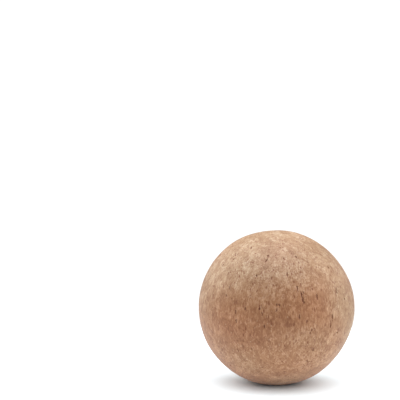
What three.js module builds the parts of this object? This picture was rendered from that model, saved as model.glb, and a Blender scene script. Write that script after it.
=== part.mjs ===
// A cork massage ball: one solid ball of agglomerated cork, turned and sanded from a moulded block.
//
// The ball has no shell, core, insert or fastener. Cork granules and their binder fill it right
// through, so it is one piece and nothing on it moves.
//
// Units are millimetres and +Z is up. The origin is the ball's centre. The cork granules lie with
// their long side along Z, so Z is the one direction of the ball that can be told from the others.

import * as THREE from "three";
import { mergeVertices } from "three/addons/utils/BufferGeometryUtils.js";

// Driving dimensions
const BALL_DIAMETER = 65;
const SURFACE_TOLERANCE = 0.05; // the most that the middle of a facet may lie inside the true sphere

// Finish of sanded, unsealed cork
const CORK_COLOUR = 0xa67e5d;
const CORK_ROUGHNESS = 0.72;

// The ball starts as an icosahedron, whose edges each span this angle at the centre.
const ICOSAHEDRON_EDGE_ANGLE = Math.atan(2);

// Facets at the middle of an icosahedron face come out this much longer than an even share.
const MIDDLE_FACET_STRETCH = 1.2;

const ballRadius = BALL_DIAMETER / 2;

// The edge of an equal-sided facet whose middle lies the given depth inside a sphere.
function longestFacetEdge(radius, tolerance) {
  return Math.sqrt(6 * radius * tolerance);
}

// How many cuts to make along each edge of the icosahedron. An even number of pieces puts a vertex
// on each axis, so that the ball's box is exactly its diameter on all three sides.
function cutsPerEdge(radius, tolerance) {
  const arc = radius * ICOSAHEDRON_EDGE_ANGLE * MIDDLE_FACET_STRETCH;
  const pieces = 2 * Math.ceil(arc / longestFacetEdge(radius, tolerance) / 2);
  return pieces - 1;
}

// A sphere of nearly equal triangles. It has no poles where long thin facets would meet.
function makeBallGeometry(radius) {
  const sphere = new THREE.IcosahedronGeometry(radius, cutsPerEdge(radius, SURFACE_TOLERANCE));
  sphere.deleteAttribute("normal");
  sphere.deleteAttribute("uv");
  const closed = mergeVertices(sphere);
  closed.computeVertexNormals();
  return closed;
}

function makeCorkMaterial() {
  return new THREE.MeshStandardMaterial({
    color: CORK_COLOUR,
    roughness: CORK_ROUGHNESS,
    metalness: 0,
  });
}

function makeBall() {
  const ball = new THREE.Mesh(makeBallGeometry(ballRadius), makeCorkMaterial());
  ball.name = "cork_ball";
  return ball;
}

const massageBall = new THREE.Group();
massageBall.add(makeBall());

export default massageBall;
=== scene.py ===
"""Looks for a cork massage ball: a sanded ball of pressed cork granules on a white table.

Lengths are in metres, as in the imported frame, except where a name or a comment says mm. The grain of
the cork, its pores and its relief are all worked out in mm, on the ball's true sphere.
"""

import math
import random
from typing import NamedTuple

import bmesh
import bpy
import numpy as np
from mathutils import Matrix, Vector, noise


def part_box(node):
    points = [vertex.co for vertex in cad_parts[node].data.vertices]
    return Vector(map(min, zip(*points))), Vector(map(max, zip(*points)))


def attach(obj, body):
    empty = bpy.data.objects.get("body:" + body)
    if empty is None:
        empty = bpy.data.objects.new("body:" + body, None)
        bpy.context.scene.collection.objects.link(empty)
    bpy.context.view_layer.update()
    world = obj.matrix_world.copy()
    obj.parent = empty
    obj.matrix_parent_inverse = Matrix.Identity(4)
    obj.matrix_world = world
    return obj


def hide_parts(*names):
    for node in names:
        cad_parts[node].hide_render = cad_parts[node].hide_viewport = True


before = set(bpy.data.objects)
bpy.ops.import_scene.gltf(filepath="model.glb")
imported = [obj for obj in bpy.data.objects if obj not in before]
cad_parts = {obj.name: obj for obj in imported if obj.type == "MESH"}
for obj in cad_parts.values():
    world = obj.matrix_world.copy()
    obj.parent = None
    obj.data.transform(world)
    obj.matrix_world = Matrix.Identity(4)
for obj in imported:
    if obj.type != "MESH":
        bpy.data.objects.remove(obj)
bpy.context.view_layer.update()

# The ball, from the frame. Its centre is the frame's origin.
BALL_NODE = "cork_ball"
low_corner, high_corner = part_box(BALL_NODE)
RADIUS = (high_corner.z - low_corner.z) / 2
MM = 0.001
RADIUS_MM = RADIUS / MM
BALL_CENTRE = (0.0, 0.0, 0.0)

# Camera
CAMERA_LENS = 100.0
CAMERA_CLIP_START = 0.01
CAMERA_DISTANCE = 14.50 * RADIUS
CAMERA_ELEVATION = math.radians(8)
AIM_LEFT_OF_BALL = 1.0 * RADIUS
AIM_ABOVE_BALL = 1.391 * RADIUS

# Table and background. The table is at the ball's lowest point, and the background is a little over
# full white, so that it comes out clean.
TABLE_RADIUS = 0.16
TABLE_CORNERS = 96
TABLE_HEIGHT = low_corner.z
TABLE_WHITE = (0.81, 0.88, 0.92)
BACKDROP_BRIGHTNESS = 1.1


class Panel(NamedTuple):
    """A soft rectangular light that faces its aim. Its colour is linear RGB."""
    place: tuple
    width: float
    height: float
    aim: tuple
    watts: float
    colour: tuple


COOL_WHITE = (0.97, 0.99, 1.08)
WARM_WHITE = (1.10, 1.00, 0.93)
PURE_WHITE = (1.00, 1.00, 1.00)
ABOVE_BALL = (0.0, 0.0, 0.08)
BALL_PANELS = {
    "top light": Panel((0.0, -0.05, 0.60), 0.60, 0.60, BALL_CENTRE, 6.0, COOL_WHITE),
    "left light": Panel((-0.45, 0.09, 0.31), 0.55, 0.45, ABOVE_BALL, 2.6, WARM_WHITE),
    "right light": Panel((0.50, 0.0, 0.22), 0.70, 0.45, ABOVE_BALL, 2.5, WARM_WHITE),
}
TABLE_PANELS = {
    "table light": Panel((0.0, -0.15, 0.50), 2.20, 2.20, BALL_CENTRE, 40.0, PURE_WHITE),
}

# Mesh of the ball, before its relief. Faces within the margin of a pore are cut finer, and then
# those within half the margin once more.
FACES_PER_CUBE_EDGE = 104
REFINED_MARGIN_MM = 0.35
REFINEMENTS = 2

# Hand sanding leaves the ball very slightly out of round. The shift is counted in patches.
UNEVENNESS_MM = 0.5
UNEVEN_PATCH_MM = 20.0
UNEVEN_SHIFT = (3.0, 97.0, 7.0)

# Shape of a pore, where 1 is the distance from its middle to its edge. Its edge is ragged by up to
# PORE_RAG in or out, in waves of noise, and its wall slopes in from there over PORE_WALL.
PORE_RAG = 0.60
PORE_RAG_PER_MM = 2.2
PORE_REACH = 1 + PORE_RAG
PORE_WALL = 0.5

# Small pores, scattered all over: least and most length and width in mm, least and most depth as a
# share of the width, and the spread of their lean off the grain in degrees
RANDOM_SEED = 65
SMALL_PORE_COUNT = 90
SMALL_PORE_LENGTH = (0.9, 2.2)
SMALL_PORE_WIDTH = (0.35, 0.60)
SMALL_PORE_DEPTH_SHARE = (0.3, 0.6)
SMALL_PORE_LEAN_SPREAD = 14

# The few pores that are large enough to pick out: degrees round from the camera's side (positive
# to its right), degrees up, length, width and depth in mm, and lean off the grain in degrees. The
# first three run into each other as one long fissure.
NOTABLE_PORES = [
    (19.5, 12.5, 3.0, 1.10, 0.45, -14.0),
    (18.5, 16.5, 2.6, 0.70, 0.30, -8.0),
    (16.0, 20.5, 2.6, 0.60, 0.25, -10.0),
    (-9.0, 42.5, 2.4, 0.70, 0.35, 20.0),
    (-8.5, 46.5, 0.8, 1.00, 0.30, 0.0),
    (20.5, 45.5, 1.5, 0.70, 0.35, -10.0),
    (31.0, 14.5, 3.0, 0.70, 0.35, 5.0),
    (-11.5, 6.5, 1.8, 0.90, 0.35, 0.0),
    (-9.5, 3.0, 1.6, 0.80, 0.30, 0.0),
    (-22.0, 6.0, 1.5, 0.70, 0.35, 0.0),
    (-29.5, 3.0, 1.8, 0.70, 0.30, 0.0),
    (-29.0, -3.0, 2.2, 0.70, 0.30, 0.0),
    (0.5, 6.0, 1.8, 0.70, 0.30, 20.0),
    (2.0, 9.5, 1.4, 0.70, 0.30, -25.0),
    (-8.0, -5.5, 1.8, 0.60, 0.30, 0.0),
    (16.5, 1.0, 2.2, 0.80, 0.35, 6.0),
    (22.0, -2.0, 1.6, 0.60, 0.30, 0.0),
    (12.5, -4.5, 1.3, 0.70, 0.30, 15.0),
    (9.0, 31.0, 2.0, 0.70, 0.30, 0.0),
    (44.0, -1.0, 3.0, 0.80, 0.35, 4.0),
    (42.5, -6.5, 3.2, 0.65, 0.30, 0.0),
    (51.5, 17.0, 2.8, 0.70, 0.30, 0.0),
    (26.0, -8.5, 1.2, 0.90, 0.35, 0.0),
    (30.0, -24.0, 1.6, 0.80, 0.35, -15.0),
    (60.0, 10.5, 1.4, 0.90, 0.35, 0.0),
    (51.0, -13.0, 1.0, 0.80, 0.35, 0.0),
    (53.0, 35.0, 1.3, 0.80, 0.35, 0.0),
    (-39.0, 14.0, 1.4, 0.70, 0.30, 0.0),
    (-56.0, 36.0, 1.2, 0.80, 0.35, 10.0),
]


class Noise(NamedTuple):
    """A field of noise: patch size and shift in mm. A z_scale under 1 draws the patches out along Z."""
    size: float
    detail: float = 2.0
    roughness: float = 0.5
    z_scale: float = 1.0
    shift: tuple = (0.0, 0.0, 0.0)


class Step(NamedTuple):
    """A smooth step from to_low to to_high, as a number goes from low to high."""
    low: float
    high: float
    to_low: float = 0.0
    to_high: float = 1.0


# Granules of the pressed block, in mm, longer along Z than across. A share of the large ones is
# whole, and the others are broken into small ones. A warp of WARP_MM, half either way, bends them.
GRANULE_LENGTH_RATIO = 2.2
CHUNK_MM = 3.6
LARGE_GRANULE_MM = 1.3
SMALL_GRANULE_MM = 0.7
WHOLE_GRANULE_SHARE = 0.35
WARP = Noise(0.9)
WARP_MM = 0.7

# Relief. An open joint sinks by 1 and a granule by up to GRANULE_SINK, and where both are at their
# deepest, that is RELIEF_DEPTH_MM. The joints are more open in some patches of the ball.
RELIEF_DEPTH_MM = 0.05
GRANULE_SINK = 0.5
RELIEF_JOINT_BY_MM = Step(0.0, 0.22, 1.0, 0.0)
RELIEF_PATCHES = Noise(3.0)
RELIEF_PATCH_STEP = Step(0.35, 0.65, 0.25, 1.0)

# Colours of the cork, as linear RGB. The cork's tone goes from dark to pale between the stops.
BARK_BROWN = (0.185, 0.048, 0.011)
# Inside the pores: partly their own dark brown, partly painted shade of the hollow
PORE_BROWN_AND_SHADE = (0.200, 0.058, 0.024)
CORK_PALE = (0.560, 0.350, 0.210)
CORK_STOPS = [
    (0.25, (0.215, 0.083, 0.030)),
    (0.50, (0.370, 0.182, 0.084)),
    (0.75, CORK_PALE),
]

# The layers of the cork's tone, and how far each one moves it. The fibre shows more where the
# ball is busy, and so do the flecks. A shift chooses which stretch of the endless noise is used.
MEAN_TONE = 0.5
FIBRE = Noise(0.42, detail=3.0, roughness=0.65, z_scale=0.28)
FIBRE_SHARE = 0.60
STRAND = Noise(1.1, detail=3.0, roughness=0.6, z_scale=0.45)
PATCH = Noise(5.0)
BLOTCH = Noise(14.0, detail=3.0, shift=(-181.0, -153.0, -21.0))
FINE = Noise(0.25, detail=3.0, roughness=0.6)
TONE_SHARES = {
    "chunk": 0.13,
    "granule": 0.13,
    "strand": 0.35,
    "patch": 0.15,
    "blotch": -0.22,
    "fine": 0.18,
}
BUSY = Noise(4.0, detail=1.0)
BUSY_STEP = Step(0.3, 0.7, 0.5, 1.6)

# The pressed block is beige in places and redder in others, as linear RGB factors. The shift puts
# the paler beige at the top, where the top light's sheen falls, so it is partly a painted highlight.
BEIGE_AND_HIGHLIGHT_TINT = (1.00, 1.26, 1.40)
RED_TINT = (1.03, 0.845, 0.725)
REDNESS_AND_HIGHLIGHT = Noise(42.0, detail=1.0, shift=(-343.0, 319.0, 287.0))
REDNESS_AND_HIGHLIGHT_STEP = Step(0.20, 0.78)

# Dark joints and pores: how much of the dark colour they take, by the distance from the joint in
# mm, and by how far inside a pore a place is, from 0 to 1
JOINT_DARK_BY_MM = Step(0.0, 0.13, 0.45, 0.0)
JOINT_PATCHES = Noise(1.8)
JOINT_PATCH_STEP = Step(0.45, 0.65)
# In a pore the dark colour is partly its own brown and partly painted shade of the hollow
PORE_BROWN_AND_SHADE_STEP = Step(0.0, 0.8, 0.0, 0.70)


class Fleck(NamedTuple):
    """One kind of short stroke in the cork. The share is the share of cells that have one."""
    size_mm: float
    length_ratio: float
    share: float
    strength: float
    colour: tuple


FLECKS = [
    Fleck(1.4, 2.8, 0.16, 0.50, BARK_BROWN),
    Fleck(0.9, 3.2, 0.15, 0.85, BARK_BROWN),
    Fleck(0.8, 1.4, 0.08, 0.50, CORK_PALE),
]
FLECK_RAG = Noise(0.5, detail=1.0)
FLECK_RAG_MM = 0.45

# How far from a fleck's middle it is at full strength, and where it ends, in cells
FLECK_FULL_TO = 0.18
FLECK_ENDS_AT = 0.42

# Gloss and bump of dry, sanded cork
LEAST_ROUGHNESS = 0.50
ROUGHNESS_SPREAD = 0.25
SPECULAR_LEVEL = 0.45
SHEEN_WEIGHT = 0.15
SHEEN_ROUGHNESS = 0.5
BUMP_DEPTH_MM = 0.06
BUMP_STRENGTH = 0.5
BUMP_JOINT_BY_MM = Step(0.0, 0.14, 0.0, 0.6)
BUMP_FINE_SHARE = 0.5


# Mesh of the ball

def cube_sphere(radius, faces_per_edge):
    """A sphere of nearly equal quads: a cube's grid, spread by equal angles and pushed out."""
    mesh = bmesh.new()
    bmesh.ops.create_cube(mesh, size=2)
    bmesh.ops.subdivide_edges(mesh, edges=mesh.edges[:], cuts=faces_per_edge - 1, use_grid_fill=True)
    for vertex in mesh.verts:
        spread = Vector([math.tan(side * math.pi / 4) for side in vertex.co])
        vertex.co = spread.normalized() * radius
    return mesh


class Pore(NamedTuple):
    """A pore: the directions of its middle and of its length, and its half sizes and depth in mm."""
    middle: Vector
    along: Vector
    half_length: float
    half_width: float
    depth: float


def make_pore(turn, rise, length, width, depth, lean):
    """A pore from a row of NOTABLE_PORES, or from the same six numbers."""
    turn = math.radians(turn)
    rise = math.radians(rise)
    lean = math.radians(lean)
    middle = Vector((math.sin(turn) * math.cos(rise), -math.cos(turn) * math.cos(rise), math.sin(rise)))
    east = Vector((math.cos(turn), math.sin(turn), 0))
    north = middle.cross(east)
    along = north * math.cos(lean) + east * math.sin(lean)
    return Pore(middle, along, length / 2, width / 2, depth)


def all_pores():
    """The notable pores, and small ones scattered evenly over the whole ball."""
    chance = random.Random(RANDOM_SEED)
    pores = [make_pore(*row) for row in NOTABLE_PORES]
    for _ in range(SMALL_PORE_COUNT):
        turn = chance.uniform(-180, 180)
        rise = math.degrees(math.asin(chance.uniform(-1, 1)))
        length = chance.uniform(*SMALL_PORE_LENGTH)
        width = chance.uniform(*SMALL_PORE_WIDTH)
        depth = width * chance.uniform(*SMALL_PORE_DEPTH_SHARE)
        lean = chance.gauss(0, SMALL_PORE_LEAN_SPREAD)
        pores.append(make_pore(turn, rise, length, width, depth, lean))
    return pores


def places_in_mm(mesh):
    """Each vertex's place, as a row of three numbers."""
    return np.array([vertex.co for vertex in mesh.verts]) / MM


def seen_from_pore(places, pore):
    """How far each place is along and across from a pore's middle, in mm, and if it is on its side."""
    offsets = places - np.array(pore.middle) * RADIUS_MM
    across = pore.middle.cross(pore.along)
    same_side = offsets @ np.array(pore.middle) > -RADIUS_MM
    return offsets @ np.array(pore.along), offsets @ np.array(across), same_side


def refine_near_pores(mesh, pores):
    """Cuts the faces near each pore into four, more than once, and keeps them on the sphere."""
    for done in range(REFINEMENTS):
        margin = REFINED_MARGIN_MM / (done + 1)
        places = places_in_mm(mesh)
        near = np.zeros(len(places), bool)
        for pore in pores:
            along, across, same_side = seen_from_pore(places, pore)
            lengthways = along / (pore.half_length + margin)
            sideways = across / (pore.half_width + margin)
            near |= (lengthways ** 2 + sideways ** 2 < 1) & same_side
        mesh.verts.ensure_lookup_table()
        chosen = {edge for index in np.flatnonzero(near) for edge in mesh.verts[index].link_edges}
        bmesh.ops.subdivide_edges(mesh, edges=list(chosen), cuts=1, use_grid_fill=True)
        for vertex in mesh.verts:
            vertex.co = vertex.co.normalized() * RADIUS


def smooth(share):
    """Cuts a share to between 0 and 1, and eases it at both ends."""
    share = min(max(share, 0.0), 1.0)
    return share * share * (3 - 2 * share)


def dent_pores(mesh, pores):
    """Presses each pore into the mesh and gives how far inside a pore each vertex is, from 0 to 1."""
    places = places_in_mm(mesh)
    inside = np.zeros(len(places))
    sunk = np.zeros(len(places))
    for pore in pores:
        along, across, same_side = seen_from_pore(places, pore)
        radial = np.sqrt((along / pore.half_length) ** 2 + (across / pore.half_width) ** 2)
        for index in np.flatnonzero((radial < PORE_REACH) & same_side):
            rag = noise.noise(Vector(places[index]) * PORE_RAG_PER_MM) * PORE_RAG
            share = smooth((1.0 - radial[index] - rag) / PORE_WALL)
            inside[index] = max(inside[index], share)
            sunk[index] = max(sunk[index], share * pore.depth)
    for vertex, depth in zip(mesh.verts, sunk):
        vertex.co = vertex.co.normalized() * (RADIUS - depth * MM)
    return inside


def make_uneven(mesh):
    """Moves the surface in and out in broad, shallow swells, by well under a millimetre."""
    for vertex in mesh.verts:
        place = vertex.co / MM / UNEVEN_PATCH_MM + Vector(UNEVEN_SHIFT)
        swell = noise.noise(place) * UNEVENNESS_MM * MM
        vertex.co += vertex.co.normalized() * swell


# Nodes that the mesh's relief and the material share

def new_node(tree, kind, **settings):
    """A new node, with its own properties set by name."""
    node = tree.nodes.new(kind)
    for name, value in settings.items():
        setattr(node, name, value)
    return node


def feed(tree, socket, value):
    """Links a socket to an input, or sets the input to a plain value."""
    if isinstance(value, bpy.types.NodeSocket):
        tree.links.new(value, socket)
    else:
        socket.default_value = value


def calculate(tree, operation, *values):
    """The result of a Math node."""
    node = new_node(tree, "ShaderNodeMath", operation=operation)
    for socket, value in zip(node.inputs, values):
        feed(tree, socket, value)
    return node.outputs[0]


def calculate_vector(tree, operation, *values):
    """The result of a Vector Math node."""
    node = new_node(tree, "ShaderNodeVectorMath", operation=operation)
    for socket, value in zip(node.inputs, values):
        feed(tree, socket, value)
    return node.outputs[0]


def smooth_step(tree, value, step):
    """The number that a Step gives for a value."""
    node = new_node(tree, "ShaderNodeMapRange", interpolation_type="SMOOTHSTEP")
    for socket, number in zip(node.inputs, (value, *step)):
        feed(tree, socket, number)
    return node.outputs[0]


def blend_numbers(tree, share, first, second):
    """The first number where the share is 0, the second where it is 1, and a mix in between."""
    node = new_node(tree, "ShaderNodeMix", data_type="FLOAT")
    for index, value in ((0, share), (2, first), (3, second)):
        feed(tree, node.inputs[index], value)
    return node.outputs[0]


def blend_colours(tree, share, first, second, blend_type="MIX"):
    """The first colour where the share is 0, and the two blended in full where it is 1."""
    node = new_node(tree, "ShaderNodeMix", data_type="RGBA", blend_type=blend_type)
    for index, value in ((0, share), (6, first), (7, second)):
        feed(tree, node.inputs[index], value)
    return node.outputs[2]


def opaque(colour):
    """A linear RGB colour as the four numbers that a colour socket takes."""
    return (*colour, 1.0)


def scale_along_z(tree, place, scale):
    """The place with its height scaled, which stretches a pattern along Z if the scale is under 1."""
    return calculate_vector(tree, "MULTIPLY", place, (1.0, 1.0, scale))


def noise_field(tree, place, field, output="Fac"):
    """The noise at a place, as a number about 0.5, or as a random colour from the output Color."""
    if any(field.shift):
        place = calculate_vector(tree, "ADD", place, field.shift)
    if field.z_scale != 1.0:
        place = scale_along_z(tree, place, field.z_scale)
    node = new_node(tree, "ShaderNodeTexNoise")
    feed(tree, node.inputs["Vector"], place)
    feed(tree, node.inputs["Scale"], 1 / field.size)
    feed(tree, node.inputs["Detail"], field.detail)
    feed(tree, node.inputs["Roughness"], field.roughness)
    return node.outputs[output]


def cell_field(tree, place, size, output, feature="F1"):
    """Cells of a size in mm: their random Color, or a Distance, which is in cells."""
    node = new_node(tree, "ShaderNodeTexVoronoi", feature=feature)
    feed(tree, node.inputs["Vector"], place)
    feed(tree, node.inputs["Scale"], 1 / size)
    return node.outputs[output]


def cell_numbers(tree, place, size):
    """Three random numbers for each cell."""
    node = new_node(tree, "ShaderNodeSeparateXYZ")
    feed(tree, node.inputs[0], cell_field(tree, place, size, "Color"))
    return node.outputs


def distance_to_joint(tree, place, size):
    """How far a place is from the nearest edge of its cell, in mm."""
    in_cells = cell_field(tree, place, size, "Distance", feature="DISTANCE_TO_EDGE")
    return calculate(tree, "MULTIPLY", in_cells, size)


def place_on_sphere(tree, position):
    """The position in mm on the true sphere, whatever the relief does to the surface there."""
    direction = calculate_vector(tree, "NORMALIZE", position)
    return calculate_vector(tree, "MULTIPLY", direction, (RADIUS_MM,) * 3)


def granules(tree, place):
    """The pressed granules round a place: each one's random numbers, and how near its joint is."""
    warp = noise_field(tree, place, WARP, "Color")
    warp = calculate_vector(tree, "SUBTRACT", warp, (0.5,) * 3)
    warp = calculate_vector(tree, "MULTIPLY", warp, (WARP_MM,) * 3)
    bent = calculate_vector(tree, "ADD", place, warp)
    pressed = scale_along_z(tree, bent, 1 / GRANULE_LENGTH_RATIO)
    chunk = cell_numbers(tree, bent, CHUNK_MM)
    large = cell_numbers(tree, pressed, LARGE_GRANULE_MM)
    small = cell_numbers(tree, pressed, SMALL_GRANULE_MM)
    large_joint = distance_to_joint(tree, pressed, LARGE_GRANULE_MM)
    small_joint = distance_to_joint(tree, pressed, SMALL_GRANULE_MM)
    nearest_joint = calculate(tree, "MINIMUM", large_joint, small_joint)
    whole = calculate(tree, "LESS_THAN", large[2], WHOLE_GRANULE_SHARE)
    return {
        "chunk": chunk[0],
        "tone": blend_numbers(tree, whole, small[0], large[0]),
        "height": blend_numbers(tree, whole, small[1], large[1]),
        "joint_mm": blend_numbers(tree, whole, nearest_joint, large_joint),
    }


# Relief

def relief_offset(tree, position):
    """The offset that sinks each granule a little, and the joints between them a little more."""
    place = place_on_sphere(tree, position)
    cork = granules(tree, place)
    patches = noise_field(tree, place, RELIEF_PATCHES)
    joint = smooth_step(tree, cork["joint_mm"], RELIEF_JOINT_BY_MM)
    joint = calculate(tree, "MULTIPLY", joint, smooth_step(tree, patches, RELIEF_PATCH_STEP))
    granule = calculate(tree, "MULTIPLY", cork["height"], GRANULE_SINK)
    sunk = calculate(tree, "ADD", granule, joint)
    sunk = calculate(tree, "MULTIPLY", sunk, -RELIEF_DEPTH_MM * MM / (1 + GRANULE_SINK))
    scale = new_node(tree, "ShaderNodeVectorMath", operation="SCALE")
    feed(tree, scale.inputs[0], calculate_vector(tree, "NORMALIZE", position))
    feed(tree, scale.inputs["Scale"], sunk)
    return scale.outputs[0]


def relief_tree():
    """Geometry nodes that move each vertex of a mesh by its relief."""
    tree = bpy.data.node_groups.new("cork relief", "GeometryNodeTree")
    for direction in ("INPUT", "OUTPUT"):
        tree.interface.new_socket("Geometry", in_out=direction, socket_type="NodeSocketGeometry")
    entry = new_node(tree, "NodeGroupInput")
    leave = new_node(tree, "NodeGroupOutput")
    move = new_node(tree, "GeometryNodeSetPosition")
    position = new_node(tree, "GeometryNodeInputPosition").outputs[0]
    feed(tree, move.inputs["Geometry"], entry.outputs[0])
    feed(tree, move.inputs["Offset"], relief_offset(tree, position))
    feed(tree, leave.inputs[0], move.outputs[0])
    return tree


def apply_relief(ball):
    """Runs the relief nodes over the ball's mesh and keeps the result as plain mesh."""
    modifier = ball.modifiers.new("relief", "NODES")
    modifier.node_group = relief_tree()
    shaped = ball.evaluated_get(bpy.context.evaluated_depsgraph_get())
    mesh = bpy.data.meshes.new_from_object(shaped)
    ball.modifiers.clear()
    ball.data = mesh
    mesh.name = ball.name


# Material

def cork_tone(tree, place, cork, fine, busy):
    """How dark or pale the cork is, from 0 to 1, with every layer of its grain added up."""
    layers = {
        "chunk": cork["chunk"],
        "granule": cork["tone"],
        "strand": noise_field(tree, place, STRAND),
        "patch": noise_field(tree, place, PATCH),
        "blotch": noise_field(tree, place, BLOTCH),
        "fine": fine,
    }
    fibre = calculate(tree, "SUBTRACT", noise_field(tree, place, FIBRE), MEAN_TONE)
    fibre = calculate(tree, "MULTIPLY", fibre, busy)
    tone = calculate(tree, "MULTIPLY_ADD", fibre, FIBRE_SHARE, MEAN_TONE)
    for name, layer in layers.items():
        centred = calculate(tree, "SUBTRACT", layer, MEAN_TONE)
        tone = calculate(tree, "MULTIPLY_ADD", centred, TONE_SHARES[name], tone)
    return tone


def colour_ramp(tree, value, stops):
    """Turns a number into a colour that runs through the stops, each a number and its colour."""
    node = new_node(tree, "ShaderNodeValToRGB")
    elements = node.color_ramp.elements
    for number, _ in stops[1:-1]:
        elements.new(number)
    for element, (number, colour) in zip(elements, stops):
        element.position = number
        element.color = opaque(colour)
    feed(tree, node.inputs[0], value)
    return node.outputs[0]


def tinted_with_painted_highlight(tree, place, colour):
    """The colour, more beige or redder from one part of the ball to another. The paler beige at the top
    is partly a painted highlight, where the top light's sheen falls.
    """
    redness_and_highlight = smooth_step(tree, noise_field(tree, place, REDNESS_AND_HIGHLIGHT), REDNESS_AND_HIGHLIGHT_STEP)
    tint = blend_colours(tree, redness_and_highlight, opaque(BEIGE_AND_HIGHLIGHT_TINT), opaque(RED_TINT))
    return blend_colours(tree, 1.0, colour, tint, "MULTIPLY")


def with_dark_joints(tree, place, cork, colour):
    """The colour, with bark brown in the joints between granules, in some patches of the ball."""
    joint = smooth_step(tree, cork["joint_mm"], JOINT_DARK_BY_MM)
    patches = smooth_step(tree, noise_field(tree, place, JOINT_PATCHES), JOINT_PATCH_STEP)
    joint = calculate(tree, "MULTIPLY", joint, patches)
    return blend_colours(tree, joint, colour, opaque(BARK_BROWN))


def fleck_strength(tree, place, fleck, busy):
    """Short strokes along Z, more of them where it is busy: 0 off the strokes, the strength on them."""
    rag = noise_field(tree, place, FLECK_RAG, "Color")
    rag = calculate_vector(tree, "MULTIPLY", rag, (FLECK_RAG_MM,) * 3)
    pressed = calculate_vector(tree, "ADD", place, rag)
    pressed = scale_along_z(tree, pressed, 1 / fleck.length_ratio)
    lot = cell_numbers(tree, pressed, fleck.size_mm)[0]
    chosen = calculate(tree, "LESS_THAN", lot, calculate(tree, "MULTIPLY", busy, fleck.share))
    distance = cell_field(tree, pressed, fleck.size_mm, "Distance")
    stroke = smooth_step(tree, distance, Step(FLECK_FULL_TO, FLECK_ENDS_AT, fleck.strength, 0.0))
    return calculate(tree, "MULTIPLY", chosen, stroke)


def with_flecks(tree, place, busy, colour):
    """The colour, with each kind of fleck laid over it in turn."""
    for fleck in FLECKS:
        strength = fleck_strength(tree, place, fleck, busy)
        colour = blend_colours(tree, strength, colour, opaque(fleck.colour))
    return colour


def with_pore_brown_and_painted_shade(tree, colour):
    """The colour, darker inside the pores that are pressed into the mesh: partly the pores' own brown,
    partly painted shade of the hollow.
    """
    inside = new_node(tree, "ShaderNodeAttribute", attribute_name="pore").outputs["Fac"]
    dark = smooth_step(tree, inside, PORE_BROWN_AND_SHADE_STEP)
    return blend_colours(tree, dark, colour, opaque(PORE_BROWN_AND_SHADE))


def cork_bump(tree, cork, fine):
    """A fine bump: shallow joints between the granules, and the roughness that sanding leaves."""
    height = smooth_step(tree, cork["joint_mm"], BUMP_JOINT_BY_MM)
    height = calculate(tree, "MULTIPLY_ADD", fine, BUMP_FINE_SHARE, height)
    bump = new_node(tree, "ShaderNodeBump")
    bump.inputs["Strength"].default_value = BUMP_STRENGTH
    bump.inputs["Distance"].default_value = BUMP_DEPTH_MM * MM
    feed(tree, bump.inputs["Height"], height)
    return bump.outputs[0]


def cork_material():
    """Sanded cork: grain, tint, joints, flecks and pores in its colour, with a painted highlight in the
    tint and painted shade in the pores, and a dry, uneven gloss.
    """
    material = bpy.data.materials.new("sanded cork")
    material.use_nodes = True
    tree = material.node_tree
    shader = tree.nodes["Principled BSDF"]
    place = place_on_sphere(tree, new_node(tree, "ShaderNodeTexCoord").outputs["Object"])
    cork = granules(tree, place)
    fine = noise_field(tree, place, FINE)
    busy = smooth_step(tree, noise_field(tree, place, BUSY), BUSY_STEP)

    colour = colour_ramp(tree, cork_tone(tree, place, cork, fine, busy), CORK_STOPS)
    colour = tinted_with_painted_highlight(tree, place, colour)
    colour = with_dark_joints(tree, place, cork, colour)
    colour = with_flecks(tree, place, busy, colour)
    colour = with_pore_brown_and_painted_shade(tree, colour)
    roughness = calculate(tree, "MULTIPLY_ADD", fine, ROUGHNESS_SPREAD, LEAST_ROUGHNESS)

    feed(tree, shader.inputs["Base Color"], colour)
    feed(tree, shader.inputs["Roughness"], roughness)
    feed(tree, shader.inputs["Normal"], cork_bump(tree, cork, fine))
    shader.inputs["Specular IOR Level"].default_value = SPECULAR_LEVEL
    shader.inputs["Sheen Weight"].default_value = SHEEN_WEIGHT
    shader.inputs["Sheen Roughness"].default_value = SHEEN_ROUGHNESS
    return material


def make_ball():
    """The visible ball, which stands for the CAD ball."""
    pores = all_pores()
    shape = cube_sphere(RADIUS, FACES_PER_CUBE_EDGE)
    refine_near_pores(shape, pores)
    inside = dent_pores(shape, pores)
    make_uneven(shape)
    mesh = bpy.data.meshes.new("massage_ball")
    shape.to_mesh(mesh)
    shape.free()
    mesh.attributes.new("pore", "FLOAT", "POINT").data.foreach_set("value", inside)
    ball = bpy.data.objects.new("massage_ball", mesh)
    bpy.context.scene.collection.objects.link(ball)
    apply_relief(ball)
    ball.data.shade_smooth()
    ball.data.materials.clear()
    ball.data.materials.append(cork_material())
    return ball


# Stage

def table_material():
    """Plain white with no gloss at all."""
    material = bpy.data.materials.new("white table")
    material.use_nodes = True
    shader = material.node_tree.nodes["Principled BSDF"]
    shader.inputs["Base Color"].default_value = opaque(TABLE_WHITE)
    shader.inputs["Roughness"].default_value = 1.0
    shader.inputs["Specular IOR Level"].default_value = 0.0
    return material


def make_table():
    """A round white table top under the ball."""
    bpy.ops.mesh.primitive_circle_add(
        vertices=TABLE_CORNERS, radius=TABLE_RADIUS, fill_type="NGON", location=(0, 0, TABLE_HEIGHT)
    )
    table = bpy.context.object
    table.name = "table"
    table.data.materials.append(table_material())
    return table


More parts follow.
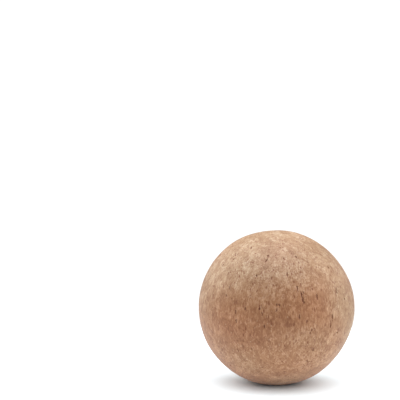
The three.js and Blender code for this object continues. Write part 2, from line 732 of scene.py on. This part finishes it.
def make_world():
    """A white background that only the camera sees, so that all the light comes from the panels."""
    world = bpy.data.worlds.new("studio")
    world.use_nodes = True
    tree = world.node_tree
    background = tree.nodes["Background"]
    background.inputs["Color"].default_value = opaque((BACKDROP_BRIGHTNESS,) * 3)
    seen = new_node(tree, "ShaderNodeLightPath").outputs["Is Camera Ray"]
    feed(tree, background.inputs["Strength"], seen)
    bpy.context.scene.world = world


def make_panel(name, panel, lit):
    """A panel that lights only one object, and that the camera doesn't see."""
    light = bpy.data.lights.new(name, "AREA")
    light.shape = "RECTANGLE"
    light.size = panel.width
    light.size_y = panel.height
    light.energy = panel.watts
    light.color = panel.colour
    lamp = bpy.data.objects.new(name, light)
    lamp.location = panel.place
    lamp.rotation_mode = "QUATERNION"
    lamp.rotation_quaternion = (Vector(panel.aim) - Vector(panel.place)).to_track_quat("-Z", "Y")
    lamp.visible_camera = False
    bpy.context.scene.collection.objects.link(lamp)
    lamp.light_linking.receiver_collection = bpy.data.collections.new(name + " lights only")
    lamp.light_linking.receiver_collection.objects.link(lit)


def make_lights(ball, table):
    """Lights the ball and the table apart, so that the table is white and the ball isn't too pale."""
    for name, panel in BALL_PANELS.items():
        make_panel(name, panel, ball)
    for name, panel in TABLE_PANELS.items():
        make_panel(name, panel, table)


def make_camera():
    """Looks down on the ball a little, with the ball low and to the right of the middle of the picture."""
    line = Vector((0, -math.cos(CAMERA_ELEVATION), math.sin(CAMERA_ELEVATION)))
    right = Vector((1, 0, 0))
    up = right.cross(-line)
    aim = up * AIM_ABOVE_BALL - right * AIM_LEFT_OF_BALL
    camera = bpy.data.objects.new("camera", bpy.data.cameras.new("camera"))
    camera.data.lens = CAMERA_LENS
    camera.data.clip_start = CAMERA_CLIP_START
    camera.location = line * CAMERA_DISTANCE
    camera.rotation_mode = "QUATERNION"
    camera.rotation_quaternion = (aim - camera.location).to_track_quat("-Z", "Y")
    bpy.context.scene.collection.objects.link(camera)
    bpy.context.scene.camera = camera


bpy.context.scene.view_settings.view_transform = "Standard"
make_camera()
make_world()
table = make_table()
ball = make_ball()
make_lights(ball, table)
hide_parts(BALL_NODE)
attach(ball, "root")
